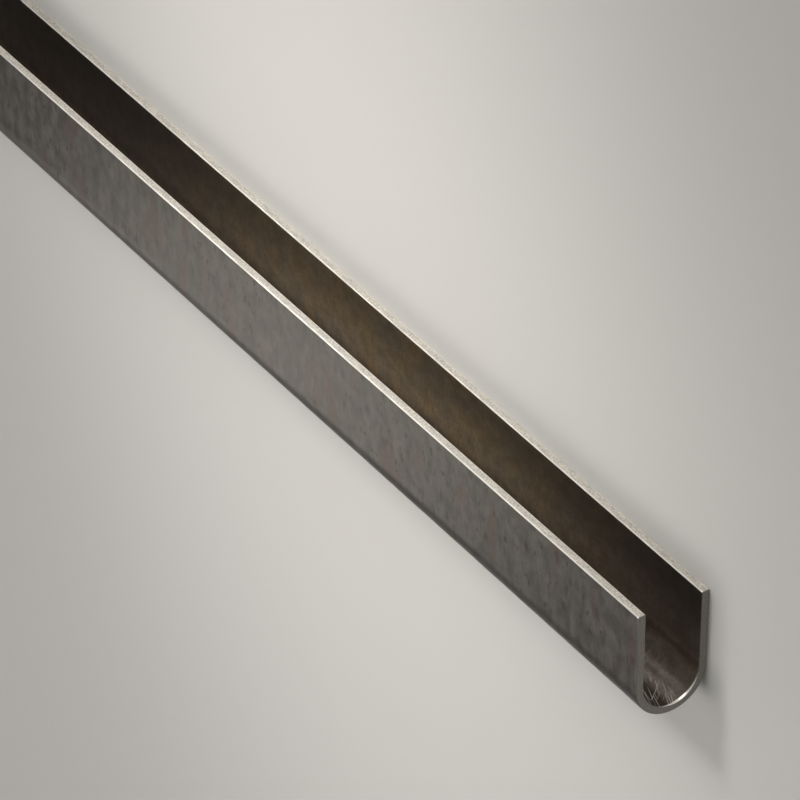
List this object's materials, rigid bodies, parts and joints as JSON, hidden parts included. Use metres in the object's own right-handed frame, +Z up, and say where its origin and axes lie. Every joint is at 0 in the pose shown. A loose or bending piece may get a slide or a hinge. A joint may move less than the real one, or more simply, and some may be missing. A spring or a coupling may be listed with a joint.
{
  "type": "steel u-channel",
  "caption": "Straight length of bare steel U-channel, bent from sheet with a half-round bottom and two parallel legs, used to edge, guide or hold a panel.",
  "frame": {"origin": "middle of the bar's box, on the outer leg face that it lies on", "axes": "+X along the bar, -Y out of the open side of the section, +Z up, from the lower leg to the upper leg"},
  "size_m": [0.3048, 0.0282, 0.018],
  "materials": {
    "steel": "bare mill finish, lightly worn, with bright sheared edges"
  },
  "bodies": {
    "root": {"u_channel": "steel"}
  },
  "joints": []
}
